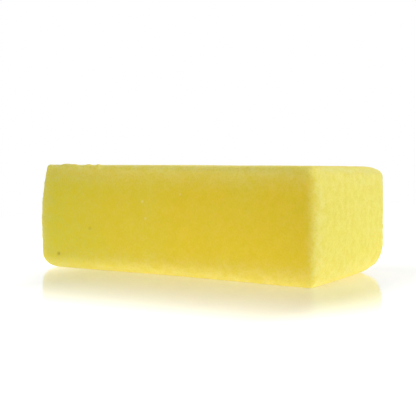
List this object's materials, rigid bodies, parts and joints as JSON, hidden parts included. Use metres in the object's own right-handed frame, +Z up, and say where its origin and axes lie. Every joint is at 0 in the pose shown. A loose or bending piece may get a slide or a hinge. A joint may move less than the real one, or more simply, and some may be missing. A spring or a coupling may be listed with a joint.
{
  "type": "cleaning sponge",
  "caption": "Block of fine open-cell foam with knife-cut faces and soft rounded edges, held in one hand to wash and wipe surfaces.",
  "frame": {"origin": "middle of the block's outline, in the plane of the broad face that it lies on", "axes": "+X along the length towards the end with the roundest corners, +Y across the width towards the back face, +Z up through the height"},
  "size_m": [0.18, 0.1, 0.06],
  "materials": {
    "foam": "matte, fine open cells"
  },
  "bodies": {
    "root": {"foam_block": "foam"}
  },
  "joints": []
}
